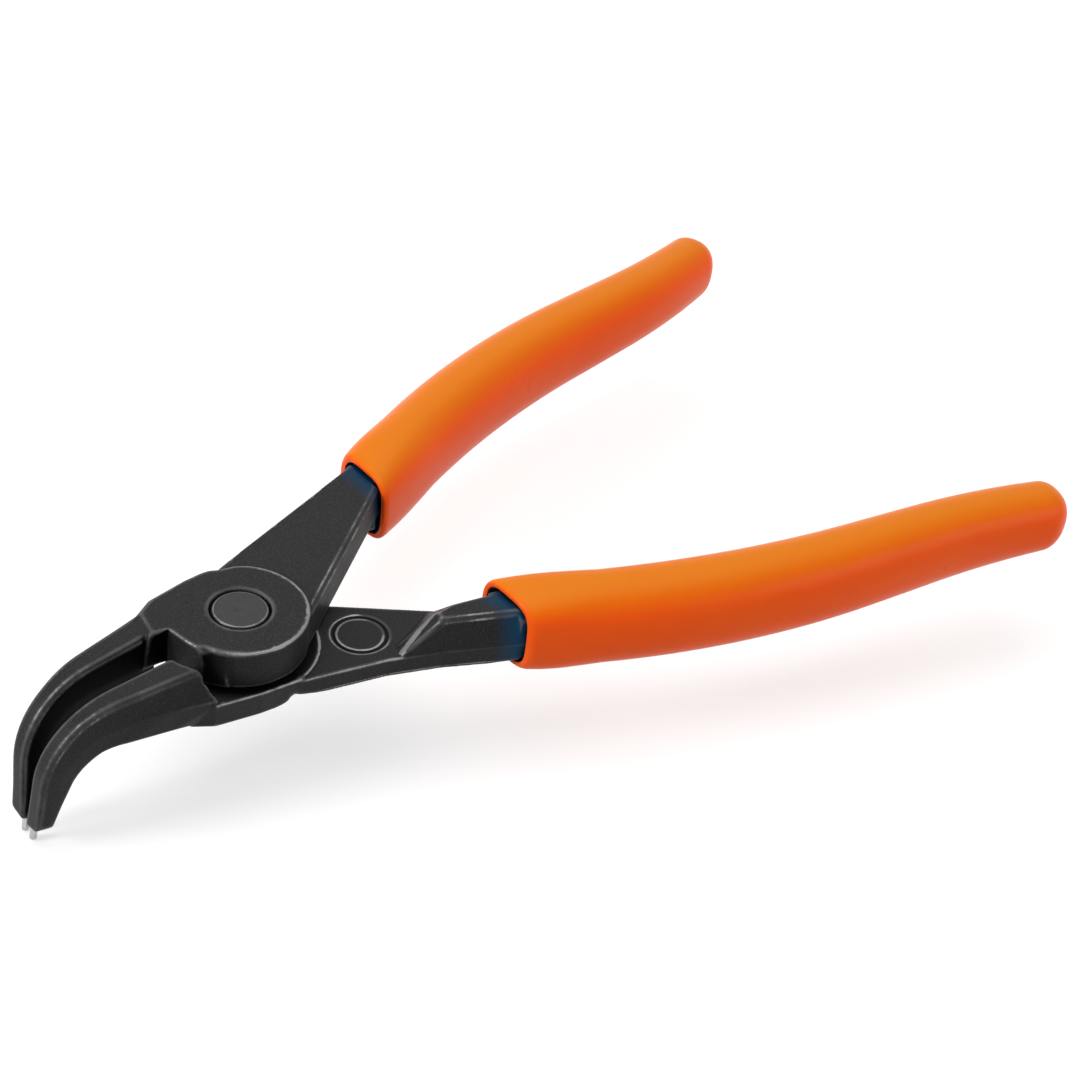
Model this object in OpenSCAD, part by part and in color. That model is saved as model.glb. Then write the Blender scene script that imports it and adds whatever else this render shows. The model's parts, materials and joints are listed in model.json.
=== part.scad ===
// Circlip pliers for outside rings, jaws bent square to the handles.
// Two forged levers lie over each other on one rivet and don't cross:
// squeezing the handles swings the jaws apart and opens the ring.
// X runs from the rivet to the handles, Z is the rivet's axis with the jaws
// bent towards -Z, and the origin is the centre of the joint's underside.

/* [Joint] */
// Radius of the round boss that the rivet passes through
boss_r = 10.2; // [9.8:0.1:10.6]
// Half of the joint's thickness, over the two bosses
boss_half_h = 5.9; // [5.6:0.1:6.5]
// Half of the thickness of the jaws and handles beside the bosses
lever_half_h = 4.75; // [4.5:0.05:5.1]
// Depth of the seats between the levers below mid-thickness
seat_depth = 0.54; // [0.3:0.02:0.7]
// Radius of the round seat where the two levers bear on each other
seat_r = 12.1; // [11.4:0.1:12.6]
// Running gap between the two milled seats
face_gap = 0.05; // [0.03:0.01:0.1]
// Gap between the two forged webs beside the seats
web_gap = 0.7; // [0.4:0.05:0.9]
// Radius to which the upper jaw's root is cleared for the lower lever
upper_clear_r = 13.2; // [13:0.1:14]
// Radius to which the lower jaw's root is cleared for the upper lever
lower_clear_r = 14.2; // [13.4:0.1:14.8]

/* [Rivet] */
// Diameter of the rivet's shank
rivet_d = 6; // [5:0.1:7]
// Diameter of its two flush heads
rivet_head_d = 8.4; // [8:0.1:9]
// Thickness of each head
rivet_head_h = 1.8; // [1.2:0.1:2.4]
// Radial gap of the dark ring round each head
rivet_ring_gap = 0.45; // [0.3:0.05:0.7]
// Radial running clearance of the shank in both levers
rivet_clearance = 0.03; // [0.01:0.01:0.08]
// Width of the punch mark in each head, and its depth
rivet_mark_d = 2.4; // [1.6:0.1:3]
rivet_mark_h = 0.15; // [0.05:0.01:0.3]

/* [Levers] */
// How far the forged sides lean in from mid-thickness to the faces
draft = 0.45; // [0.3:0.05:0.7]
// How far the milled boss stands proud of the forged shoulder beside it
boss_proud = 0.06; // [0.04:0.01:0.15]
// Lean of the boss's shoulder, which is steeper to trim
shoulder_draft = 0.9; // [0.6:0.05:1.1]
// Chamfer along the long edges
edge = 0.6; // [0.4:0.05:0.8]
// Direction of the handle's inner edge, which leaves the boss as a tangent
inner_edge_angle = 36.5; // [36:0.1:37]
// Radius of the plain ring stamped beside the joint, and its groove
medallion_r = 4.3; // [3:0.1:4.5]
medallion_groove = 0.5; // [0.3:0.05:0.6]
medallion_depth = 0.3; // [0.1:0.05:0.5]

/* [Jaws] */
// Reach of the jaws ahead of the rivet
jaw_reach = 36.6; // [35.5:0.1:38]
// Height of the noses below the joint's mid-thickness
jaw_drop = 17.8; // [17:0.1:20]
// Lean of the jaws' front faces, 90 less the bend's angle
nose_lean = 5; // [3:0.1:7]
// Fall of the jaws' top faces towards the bend
top_fall = 8; // [6:0.1:9]
// Depth of the top faces below the handles' faces where the bend starts
top_drop = 1.15; // [0.8:0.05:1.6]
// Straight top face behind the bend's centre, and step from the boss's face to its root
bend_run = 2.2; // [1.5:0.1:3]
root_step = 0.1; // [0.05:0.05:0.3]
// Outside radius of the bend
bend_r_out = 13.8; // [12:0.1:15]
// Inside radius of the bend
bend_r_in = 7.8; // [6:0.1:9]
// Slope of the jaws' undersides
under_rise = 2; // [1:0.1:3.5]
// Depth of the undersides below the handles' faces at the rivet
under_sink = 0.9; // [0.7:0.1:1.1]
// Lean of the backs of the noses
back_lean = 22.5; // [21:0.1:25]
// Thickness of the nose, front to back, at its end
nose_t = 2.65; // [2.4:0.05:2.9]
// Fall of the nose's end towards its back
nose_slope = 11; // [9:0.5:11.5]
// Width of one jaw at its root and at its nose
jaw_root_w = 5.4; // [5:0.1:6]
nose_w = 3.4; // [3.2:0.05:3.8]
// Length over which the jaw tapers from its root
jaw_taper_l = 22; // [18:0.5:26]
// Swell of the forged root towards the outside at mid-thickness
root_flare = 1.5; // [0.8:0.1:1.8]
// Half of the gap between the noses at rest
nose_half_gap = 0.32; // [0.3:0.02:0.5]
// Lean of each jaw's inner face away from the middle
jaw_gap_taper = 3.6; // [3:0.1:4.2]
// Swell of the gap between the jaws over a straight taper
jaw_bow = 0.4; // [0.2:0.05:0.6]
// Chamfer along the jaw's edges
jaw_edge = 0.6; // [0.3:0.05:0.8]
// Size of the corner taken off each nose on its outer side
nose_corner = 0.6; // [0.4:0.1:1]
// Rise of the nose's end towards that corner
nose_rise = 0.42; // [0.3:0.02:0.5]

/* [Tip pins] */
// Diameter of the pins that enter the ring's eyes
pin_d = 1.1; // [1:0.05:1.2]
// Diameter of their shanks, pressed into the noses
pin_shank_d = 0.7; // [0.6:0.05:0.75]
// Length that stands out of the nose
pin_out = 2.65; // [2.2:0.05:3.2]
// Length of shank that shows above the full diameter
pin_neck = 0.12; // [0.1:0.02:0.2]
// Chamfer of the free end
pin_chamfer = 0.15; // [0.05:0.05:0.3]
// Length pressed into the nose
pin_in = 4; // [3:0.5:5]
// Radial allowance of the pin in its hole
pin_clearance = 0.01; // [0.005:0.005:0.02]
// How far the two pins lean towards each other
pin_toe = 0; // [0:0.25:1]
// Steel left between the pin and the nose's front face
pin_front_wall = 0.6; // [0.5:0.05:0.7]
// Steel left between the pin and the nose's inner face
pin_side_wall = 0.22; // [0.2:0.02:0.4]
// Radial gap round the full diameter where it starts inside the nose's end
pin_recess_gap = 0.05; // [0.03:0.01:0.08]

/* [Grips] */
// Where the sleeve's mouth is, from the rivet along X and Y
mouth_x = 35.6; // [35:0.1:37]
mouth_y = 18.45; // [18.3:0.05:18.6]
// Length of the path from the mouth to the round end's centre
grip_l = 96; // [90:0.5:105]
// Direction of the handle at the mouth
bow_angle = 24.2; // [24:0.1:24.8]
// Turn towards the middle, and where it starts and ends along the path
bow_turn = 15.9; // [15:0.1:17]
bow_from = 14; // [12:0.5:16]
bow_to = 60; // [56:0.5:66]
// Turn outwards at the end, and where it starts along the path
flare_turn = 8.5; // [7:0.1:10]
flare_from = 74; // [70:0.5:80]
// Half width of the sleeve at mouth, middle and end
grip_w_mouth = 6; // [5.9:0.05:6.5]
grip_w_mid = 5.85; // [5.6:0.05:6.5]
grip_w_end = 4.8; // [4.6:0.05:5.4]
// Half height of the sleeve at mouth, middle and end
grip_h_mouth = 6.95; // [6.7:0.05:7.4]
grip_h_mid = 7.25; // [6.9:0.05:7.8]
grip_h_end = 5.95; // [5.6:0.05:6.4]
// How much the sleeve narrows towards its mouth, over what length
mouth_draw_h = 0.7; // [0:0.05:0.8]
mouth_draw_w = 0.25; // [0:0.05:0.3]
mouth_draw_l = 9; // [6:0.5:12]
// Thickness of the sleeve's rounded lip and its length, and the flat inside it
lip_r = 0.5; // [0.4:0.05:0.6]
lip_l = 1.1; // [0.6:0.1:1.6]
lip_flat = 0.12; // [0.1:0.02:0.2]
// Depth of the open mouth round the tang
mouth_depth = 6; // [4:0.5:8]
// Squareness of the sleeve's section, where 2 is an ellipse
grip_squareness = 2.4; // [2.2:0.05:2.7]
// Extra squareness at the mouth, where the sleeve hugs the tang
mouth_squareness = 0.9; // [0.7:0.05:1.2]

/* [Tangs] */
// Half width of the steel inside the sleeve at mouth and end
tang_w_mouth = 3.7; // [3.4:0.05:3.9]
tang_w_end = 2.6; // [2:0.05:3]
// Half height of the steel at the sleeve's end
tang_h_end = 3.6; // [3:0.05:4]
// Corner taken off the steel bar inside the sleeve
tang_corner = 1.2; // [0.9:0.1:1.5]
// How far the steel stops short of the round end's centre
tang_short = 3; // [2:0.5:6]
// Gap between the steel and the sleeve stretched on it
sleeve_gap = 0.03; // [0.01:0.01:0.06]

/* [Hidden] */

steel_black = "#2b2c2e";
steel_bright = "#a9abad";
rivet_grey = "#4a4b4d";
sleeve_orange = "#f26a12";

// Circles round enough for the drawing
round_fn = 96;
pin_fn = 32;
mid_z = boss_half_h;
seat_z = face_gap / 2;
web_z = web_gap / 2;
bore_r = rivet_d / 2 + rivet_clearance;
head_r = rivet_head_d / 2;
ring_r = head_r + rivet_ring_gap;
// The heads stand a hair below the bosses, and bear through the same running gap.
head_sink = 0.05;

// Handle web of the upper lever at mid-thickness. Its inner edge leaves the boss
// in the direction inner_edge_angle, a hair inside the tangent, and ends just
// inside the sleeve.
web_end_x = mouth_x + 0.8;
tangent_pt = (boss_r - 0.2) * [sin(inner_edge_angle), -cos(inner_edge_angle)];
tang_in_pt = tangent_pt + (web_end_x - tangent_pt.x) * [1, tan(inner_edge_angle)];
tang_out_pt = [web_end_x, mouth_y + tang_w_mouth + 1.05];
web_outline = [
    [1, 0], tangent_pt, tang_in_pt, tang_out_pt, [24.7, 17.75], [16.7, 14.9], [2.5, 11.7]
];

// Shoulder of the boss that carries the jaw, at mid-thickness, and the notch
// that clears it beside the other lever's jaw.
shoulder_outline = [
    [3, -3], [3, 11.75], [-3.2, 11.3], [-10.3, 10.1], [-14, 7.9], [-15.3, 1.2],
    [-11.3, -4.3], [-7.2, -8]
];
notch_outline = [[-17, 2.2], [-11.2, 1.9], [-10.5, -2], [-9.7, -4.9], [-7, -8], [-20, -14]];

// Half of the tang that lies in the other lever's recess. It starts with a ramp
// whose foot runs across the web, and rises to the full thickness of the handle.
ramp_foot = [
    [18.3, 15.2], [19, 13], [27.7, 9.2], tang_in_pt, tang_out_pt, [24.7, 17.6]
];
ramp_top = [
    [24, 16.5], [24.7, 14.6], [28, 14.2], [web_end_x, 15.9], [web_end_x, 22], [25.2, 17.3]
];

medallion_at = [16.4, 7.75];

// Side view of one jaw: top, bend and front outside; underside, bend and back inside.
jaw_root_x = -9;
root_top = boss_half_h - boss_proud - root_step;
top_at_bend = [bend_r_out - jaw_reach - bend_run, lever_half_h - top_drop];
front_low = [-jaw_reach, -jaw_drop];
back_low = front_low + nose_t * [1, -tan(nose_slope)];
under_at_rivet = [0, -lever_half_h - under_sink];
top_dir = 180 + top_fall;
front_dir = 270 - nose_lean;
under_dir = 180 - under_rise;
back_dir = 270 - back_lean;
outer_side = jaw_side(top_at_bend, top_dir, front_low, front_dir, bend_r_out);
inner_side = jaw_side(under_at_rivet, under_dir, back_low, back_dir, bend_r_in);
outer_len = running_length(outer_side);
jaw_l = outer_len[len(outer_len) - 1];

pin_r = pin_d / 2;
pin_y = nose_half_gap + pin_side_wall + pin_r;
pin_x = (pin_front_wall + pin_r) / cos(nose_lean) - jaw_reach;
pin_z = -jaw_drop - pin_front_wall * tan(nose_slope);

tang_l = grip_l - tang_short;
path_steps = 30;
path_step = grip_l / path_steps;
path = [for (i = 0, p = [mouth_x, mouth_y]; i <= path_steps;
             p = p + path_step * dir(heading((i + 0.5) * path_step)), i = i + 1) p];

function dir(a) = [cos(a), sin(a)];
function unit(v) = v / norm(v);
function sum(v, i = 0) = i < len(v) ? v[i] + sum(v, i + 1) : 0;
// Point where two lines cross, each given by a point and a direction.
function meet(p, a, q, b) = p + dir(a) * cross(q - p, dir(b)) / cross(dir(a), dir(b));
// How far s has got from one value to the other, between 0 and 1.
function ease(s, from, to) = max(0, min(1, (s - from) / (to - from)));
// Parabola through a, b and c at the start, the middle and the end.
function bulge(a, b, c, t) = a * (1 - t) * (1 - 2 * t) + 4 * b * t * (1 - t) + c * t * (2 * t - 1);

// Arc of radius r that rounds corner c between directions a and b.
function round_corner(c, a, b, r, turns = 14) =
    let (side = sign(b - a), centre = c - dir(a) * r * tan(abs(b - a) / 2) + dir(a + 90 * side) * r)
    [for (i = [0:turns]) centre + dir(a - 90 * side + (b - a) * i / turns) * r];

// One side of the jaw from its root to its nose, with a station halfway along each straight.
function jaw_side(start, a, low, b, r) =
    let (arc = round_corner(meet(start, a, low, b), a, b, r),
         line = start + dir(a) * (jaw_root_x - start.x) / cos(a),
         root = [line.x, min(line.y, root_top)], last = arc[len(arc) - 1])
    concat([root, (root + arc[0]) / 2], arc, [(last + low) / 2, low]);
function running_length(pts) =
    [for (i = 0, s = 0; i < len(pts); s = s + (i + 1 < len(pts) ? norm(pts[i + 1] - pts[i]) : 0),
          i = i + 1) s];

// Outline moved inwards by d with its corners kept sharp; outlines run counter-clockwise.
function inset(pts, d) =
    [for (i = [0:len(pts) - 1])
        let (n = len(pts), u = unit(pts[i] - pts[(i + n - 1) % n]),
             v = unit(pts[(i + 1) % n] - pts[i]), bis = unit([-u.y - v.y, u.x + v.x]))
        pts[i] + bis * d / (bis * [-u.y, u.x])];
function signed_area(pts) = sum([for (i = [0:len(pts) - 1]) cross(pts[i], pts[(i + 1) % len(pts)])]);
function reversed(v) = [for (i = [len(v) - 1:-1:0]) v[i]];
function counter_clockwise(pts) = signed_area(pts) > 0 ? pts : reversed(pts);
function level(pts, z) = [for (p = pts) [p.x, p.y, z]];

// Solid through a stack of rings that all have as many points. Seen from the
// first ring along the stack, the rings run clockwise.
module loft(rings) {
    n = len(rings[0]);
    last = len(rings) - 1;
    sides = [
        for (k = [0:last - 1]) for (i = [0:n - 1])
            let (a = k * n + i, b = k * n + (i + 1) % n)
            each [[a, b + n, b], [a, a + n, b + n]]
    ];
    start = [for (i = [0:n - 1]) i];
    end = [for (i = [n - 1:-1:0]) last * n + i];
    polyhedron([for (r = rings) each r], concat(sides, [start, end]), convexity = 8);
}

// Forged slab between two heights: full outline at z0, drafted sides, chamfer at z1.
module drafted(outline, z0, z1, lean = draft) {
    pts = counter_clockwise(outline);
    loft([level(pts, z0), level(inset(pts, lean), z1 - edge), level(inset(pts, lean + edge), z1)]);
}

// Boss, shoulder and handle web of the lever above the joint at height joint_z,
// and the tang, which takes the handle's full thickness.
module half_lever(joint_z) {
    boss_blank(joint_z + seat_z);
    shoulder(joint_z + seat_z + boss_proud);
    drafted(web_outline, joint_z + web_z, lever_half_h);
    seat(joint_z + seat_z);
    ramp(joint_z + web_z);
    tang_bar();
}
module boss_blank(z0) {
    rotate_extrude($fn = round_fn)
        polygon([[0, z0], [boss_r, z0], [boss_r, boss_half_h - edge / 2],
                 [boss_r - edge / 2, boss_half_h], [0, boss_half_h]]);
}
module shoulder(z0) {
    difference() {
        drafted(shoulder_outline, z0, boss_half_h - boss_proud, shoulder_draft);
        translate([0, 0, z0 - 1]) linear_extrude(2 * boss_half_h) polygon(notch_outline);
    }
}
module seat(z0) {
    translate([0, 0, z0]) intersection() {
        cylinder(r = seat_r, h = 1, $fn = round_fn);
        linear_extrude(1) polygon(inset(counter_clockwise(web_outline), draft / 2));
    }
}
// The ramp's foot is let a little way into the web above it.
module ramp(z0) {
    let_in = 0.6;
    foot = counter_clockwise(ramp_foot);
    top = counter_clockwise(ramp_top);
    loft([level(inset(top, edge), -lever_half_h), level(top, edge - lever_half_h),
          level(foot, z0), level(inset(foot, let_in / 2), z0 + let_in)]);
}

// Path of the handle's centre line from the sleeve's mouth.
function heading(s) = bow_angle - bow_turn * ease(s, bow_from, bow_to)
    + flare_turn * ease(s, flare_from, grip_l);
function path_at(s) =
    let (k = max(0, min(path_steps - 1, floor(s / path_step))), f = s / path_step - k)
    path[k] + (path[k + 1] - path[k]) * f;
function drawn(s) = pow(1 - ease(s, 0, mouth_draw_l), 2);
function grip_w(s) = bulge(grip_w_mouth, grip_w_mid, grip_w_end, s / grip_l) - mouth_draw_w * drawn(s);
function grip_h(s) = bulge(grip_h_mouth, grip_h_mid, grip_h_end, s / grip_l) - mouth_draw_h * drawn(s);
// The mouth is cut square to X, and the sections behind it turn square to the path.
function section_turn(s) = heading(s) * ease(s, 0, 12);
function section_at(s, shape) =
    let (c = path_at(s), a = section_turn(s), wide = 1 / cos(heading(s) - a))
    [for (p = shape) [c.x - sin(a) * p.x * wide, c.y + cos(a) * p.x * wide, p.y]];

function power(v, e) = sign(v) * pow(abs(v), e);
function oval(w, h, square, sides = 28) =
    [for (i = [0:sides - 1]) let (a = 360 * i / sides)
        [w * power(cos(a), 2 / square), h * power(sin(a), 2 / square)]];
function squareness(s) = grip_squareness + mouth_squareness * (1 - ease(s, 0, 15));
function bar(w, h, c) =
    [[w, c - h], [w, h - c], [w - c, h], [c - w, h], [-w, h - c], [-w, c - h], [c - w, -h], [w - c, -h]];
function tang_w(s) = tang_w_mouth + (tang_w_end - tang_w_mouth) * s / tang_l;
// The bar starts a little lower than the web, whose end shows as a shoulder on it.
tang_h_mouth = lever_half_h - 0.15;
function tang_h(s) = tang_h_mouth + (tang_h_end - tang_h_mouth) * s / tang_l;

// Steel bar inside the sleeve, grown by gap for the sleeve's cavity.
module tang_bar(gap = 0) {
    stations = 24;
    from = -0.5;
    loft([for (i = [0:stations])
        let (s = from + (tang_l - from) * i / stations)
        section_at(s + (i == stations ? gap : 0), bar(tang_w(s) + gap, tang_h(s) + gap, tang_corner))]);
}

// Width and inner face of the jaw at length s from its root.
function jaw_w(s) = nose_w + (jaw_root_w - nose_w) * (1 - ease(s, 0, jaw_taper_l));
function jaw_in(s) =
    nose_half_gap + (jaw_l - s) * tan(jaw_gap_taper) + jaw_bow * (1 - cos(360 * s / jaw_l)) / 2;
// Section of the jaw between its outer and inner side, with a ridge at mid-thickness.
function jaw_section(i) =
    let (o = outer_side[i], n = inner_side[i], t = norm(o - n), u = unit(o - n), s = outer_len[i],
         near = jaw_in(s), far = near + jaw_w(s), c = jaw_edge * min(1, t / 4),
         flare = draft * (1 - s / jaw_l) + root_flare * pow(1 - ease(s, 2, 14), 2),
         ridge = 0.3 * (1 - s / jaw_l),
         shape = [[far - c, t], [far, t - c], [far + flare, t / 2], [far, c], [far - c, 0],
                  [near + c, 0], [near, c], [near - ridge, t / 2], [near, t - c], [near + c, t]])
    [for (p = shape) [n.x + u.x * p.y, p.x, n.y + u.y * p.y]];

// Bent jaw of the upper lever, with its nose's outer corner taken off.
module jaw_blank() {
    out_y = nose_half_gap + nose_w;
    knee = [out_y - nose_corner, nose_rise];
    far = knee + (nose_corner + 1) * [1, 1.25];
    difference() {
        loft([for (i = [0:len(outer_side) - 1]) jaw_section(i)]);
        translate([-jaw_reach, 0, -jaw_drop]) rotate([0, nose_slope, 0]) translate([-5, 0, 0])
            rotate([90, 0, 90]) linear_extrude(12)
                polygon([[nose_half_gap - 1, -0.2], knee, far, [far.x + 1, far.y],
                         [far.x + 1, -3], [nose_half_gap - 1, -3]]);
    }
}
module place_pin() {
    translate([pin_x, pin_y, pin_z]) rotate([-pin_toe, nose_lean, 0]) children();
}
module pin_hole() {
    place_pin() {
        translate([0, 0, -1])
            cylinder(r = pin_shank_d / 2 + pin_clearance, h = pin_in + 1, $fn = pin_fn);
        translate([0, 0, -2]) cylinder(r = pin_r + pin_recess_gap, h = 2, $fn = pin_fn);
    }
}
module jaw() {
    difference() {
        jaw_blank();
        translate([0, 0, seat_z - seat_depth - 30]) cylinder(r = upper_clear_r, h = 30, $fn = round_fn);
        pin_hole();
    }
}
module tip_pin() {
    place_pin() rotate_extrude($fn = pin_fn)
        polygon([[0, -pin_out], [pin_r - pin_chamfer, -pin_out], [pin_r, pin_chamfer - pin_out],
                 [pin_r, -pin_neck], [pin_shank_d / 2, -pin_neck], [pin_shank_d / 2, pin_in], [0, pin_in]]);
}

// Bore and counterbore for the rivet, for the lever above mid-thickness.
module rivet_seat() {
    translate([0, 0, -1]) cylinder(r = bore_r, h = boss_half_h + 2, $fn = round_fn);
    translate([0, 0, boss_half_h - rivet_head_h - head_sink]) cylinder(r = ring_r, h = rivet_head_h + 1, $fn = round_fn);
}

module upper_lever() {
    color(steel_black) translate([0, 0, mid_z]) difference() {
        union() {
            half_lever(-seat_depth);
            jaw();
        }
        rivet_seat();
    }
}

// The lower lever is the upper one turned over, but its jaw bends the same way.
module lower_lever() {
    color(steel_black) translate([0, 0, mid_z]) difference() {
        union() {
            rotate([180, 0, 0]) half_lever(seat_depth);
            lower_jaw();
        }
        rotate([180, 0, 0]) rivet_seat();
        medallion();
    }
}
module lower_jaw() {
    mirror([0, 1, 0]) difference() {
        jaw_blank();
        translate([0, 0, -seat_depth - seat_z]) cylinder(r = lower_clear_r, h = 30, $fn = round_fn);
        pin_hole();
    }
}
// Plain ring stamped in the web's upper face.
module medallion() {
    translate([medallion_at.x, -medallion_at.y, -seat_depth - web_z - medallion_depth]) difference() {
        cylinder(r = medallion_r, h = 1, $fn = 64);
        translate([0, 0, -1]) cylinder(r = medallion_r - medallion_groove, h = 3, $fn = 64);
    }
}

module pivot_rivet() {
    head_z = boss_half_h - head_sink;
    floor_z = head_z - rivet_head_h + face_gap;
    color(rivet_grey) translate([0, 0, mid_z]) rotate_extrude($fn = round_fn)
        polygon([[0, -head_z + rivet_mark_h], [rivet_mark_d / 2, -head_z], [head_r - 0.2, -head_z],
                 [head_r, -head_z + 0.2], [head_r, -floor_z], [rivet_d / 2, -floor_z],
                 [rivet_d / 2, floor_z], [head_r, floor_z], [head_r, head_z - 0.2],
                 [head_r - 0.2, head_z], [rivet_mark_d / 2, head_z], [0, head_z - rivet_mark_h]]);
}

module upper_tip_pin() {
    color(steel_bright) translate([0, 0, mid_z]) tip_pin();
}
module lower_tip_pin() {
    color(steel_bright) translate([0, 0, mid_z]) mirror([0, 1, 0]) tip_pin();
}

// Outer skin of the sleeve: rolled lip, swelling body and round end.
module sleeve_skin() {
    lip = [for (i = [0:4]) let (a = 22.5 * i, in = lip_r * (1 - sin(a)), s = lip_l * (1 - cos(a)))
        section_at(s, oval(grip_w(s) - in, grip_h(s) - in, squareness(s)))];
    body = [for (i = [1:26]) let (s = lip_l + (grip_l - lip_l) * pow(i / 26, 1.25))
        section_at(s, oval(grip_w(s), grip_h(s), squareness(s)))];
    end_heading = heading(grip_l);
    tip = [for (i = [1:6]) let (a = 14 * i, c = path_at(grip_l) + grip_w_end * sin(a) * dir(end_heading))
        [for (p = oval(grip_w_end * cos(a), grip_h_end * cos(a), grip_squareness))
            [c.x - sin(end_heading) * p.x, c.y + cos(end_heading) * p.x, p.y]]];
    loft(concat(lip, body, tip));
}

// Open mouth that leaves a dark gap round the tang and narrows inwards.
module mouth_hollow() {
    w = grip_w(0) - lip_r - lip_flat;
    h = grip_h(0) - lip_r - lip_flat;
    loft([for (i = [-1:4])
        let (t = max(0, i) / 4, shrink = 1 - 0.45 * t * t, front = i < 0 ? -1 : 0)
        [for (p = section_at(mouth_depth * t, oval(w * shrink, h * shrink, squareness(0))))
            [p.x + front, p.y, p.z]]]);
}
module sleeve() {
    difference() {
        sleeve_skin();
        tang_bar(sleeve_gap);
        mouth_hollow();
    }
}
module upper_grip() {
    color(sleeve_orange) translate([0, 0, mid_z]) sleeve();
}
module lower_grip() {
    color(sleeve_orange) translate([0, 0, mid_z]) rotate([180, 0, 0]) sleeve();
}

upper_lever();
lower_lever();
pivot_rivet();
upper_tip_pin();
lower_tip_pin();
upper_grip();
lower_grip();
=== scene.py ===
import bpy
import bmesh
import json
import math
import numpy as np
from mathutils import Matrix, Vector


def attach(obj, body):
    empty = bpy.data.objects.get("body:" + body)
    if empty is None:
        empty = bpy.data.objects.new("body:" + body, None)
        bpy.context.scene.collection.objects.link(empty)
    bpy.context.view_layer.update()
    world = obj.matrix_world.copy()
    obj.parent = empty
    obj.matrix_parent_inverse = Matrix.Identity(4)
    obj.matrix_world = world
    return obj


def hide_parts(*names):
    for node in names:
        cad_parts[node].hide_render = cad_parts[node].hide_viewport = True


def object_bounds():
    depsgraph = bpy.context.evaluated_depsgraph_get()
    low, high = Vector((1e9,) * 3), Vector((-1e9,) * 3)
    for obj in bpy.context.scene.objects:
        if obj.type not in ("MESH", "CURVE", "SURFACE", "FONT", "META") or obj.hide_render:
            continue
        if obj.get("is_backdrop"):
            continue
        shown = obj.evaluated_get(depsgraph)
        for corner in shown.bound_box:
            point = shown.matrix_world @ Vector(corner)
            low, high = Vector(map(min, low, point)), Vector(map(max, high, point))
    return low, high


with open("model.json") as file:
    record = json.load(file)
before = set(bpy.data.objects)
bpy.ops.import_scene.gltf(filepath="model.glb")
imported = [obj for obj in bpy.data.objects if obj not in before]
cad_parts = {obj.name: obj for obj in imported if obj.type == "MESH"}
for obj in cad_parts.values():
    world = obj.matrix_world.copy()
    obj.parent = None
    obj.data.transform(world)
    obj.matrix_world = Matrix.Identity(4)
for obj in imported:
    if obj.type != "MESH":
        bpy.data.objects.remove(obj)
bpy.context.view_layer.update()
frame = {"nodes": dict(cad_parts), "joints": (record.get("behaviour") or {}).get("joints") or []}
mm = 0.001
midZ = frame["joints"][0]["pos_m"][2]  # mid-thickness of the joint, where the rivet's hinge is
print("frame loaded, mid-thickness at", midZ)

# Camera at the photograph's place: angles in degrees, distance in metres
cameraView = {
    "azimuth": -43.319,
    "elevation": 37.67,
    "roll": 7.09,
    "distance": 0.40317,
    "focalPixels": 2556.71,  # focal length in pixels of the square frame
    "framePixels": 1080,
    "sensor": 36,
    "target": (0.05323, -0.00509, midZ),
}


def addCamera(v):
    # A turntable camera: back points from the target to the lens, roll turns it about that line
    az, el, roll = (math.radians(v[k]) for k in ("azimuth", "elevation", "roll"))
    back = Vector((math.sin(az) * math.cos(el), -math.cos(az) * math.cos(el), math.sin(el)))
    right = Vector((math.cos(az), math.sin(az), 0))
    up = back.cross(right)
    rolledRight = right * math.cos(roll) + up * math.sin(roll)
    rolledUp = -right * math.sin(roll) + up * math.cos(roll)
    matrix = Matrix((rolledRight, rolledUp, back)).transposed().to_4x4()
    matrix.translation = Vector(v["target"]) + back * v["distance"]
    data = bpy.data.cameras.new("camera")
    data.sensor_width = v["sensor"]
    data.lens = v["focalPixels"] * v["sensor"] / v["framePixels"]
    data.clip_start = 0.01
    cam = bpy.data.objects.new("camera", data)
    cam.matrix_world = matrix
    bpy.context.scene.collection.objects.link(cam)
    bpy.context.scene.camera = cam


addCamera(cameraView)
bpy.context.scene.view_settings.view_transform = "Standard"
print("camera placed")


def makeObject(name, points, faces):
    mesh = bpy.data.meshes.new(name)
    mesh.from_pydata(points.tolist(), [], faces)
    mesh.shade_smooth()
    mesh.update()
    obj = bpy.data.objects.new(name, mesh)
    bpy.context.scene.collection.objects.link(obj)
    return obj


def tubeFaces(rings, around):
    # Quads between neighbouring rings of a closed tube, and a fan to one pole at each end
    i, k = np.meshgrid(np.arange(rings - 1), np.arange(around), indexing="ij")
    a = i * around + k
    b = i * around + (k + 1) % around
    quads = np.stack([a, b, b + around, a + around], -1).reshape(-1, 4)
    k = np.arange(around)
    first, last = rings * around, rings * around + 1
    start = np.stack([0 * k + first, (k + 1) % around, k], -1)
    top = (rings - 1) * around
    end = np.stack([0 * k + last, top + k, top + (k + 1) % around], -1)
    return quads.tolist() + start.tolist() + end.tolist()


def tube(name, rings):
    # rings is an array (ring, place around, xyz); each pole is the mean of its end ring
    points = np.concatenate([rings.reshape(-1, 3), rings[:1].mean(1), rings[-1:].mean(1)])
    return makeObject(name, points, tubeFaces(rings.shape[0], rings.shape[1]))


def ease(s, start, stop):
    # 0 at start, 1 at stop and straight between them; start may be the larger of the two
    return np.clip((s - start) / (stop - start), 0, 1)


# Shader node helpers

def newMaterial(name):
    mat = bpy.data.materials.new(name)
    mat.use_nodes = True
    tree = mat.node_tree
    tree.nodes.clear()
    out = tree.nodes.new("ShaderNodeOutputMaterial")
    shader = tree.nodes.new("ShaderNodeBsdfPrincipled")
    tree.links.new(shader.outputs[0], out.inputs[0])
    return mat, tree, shader


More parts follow.
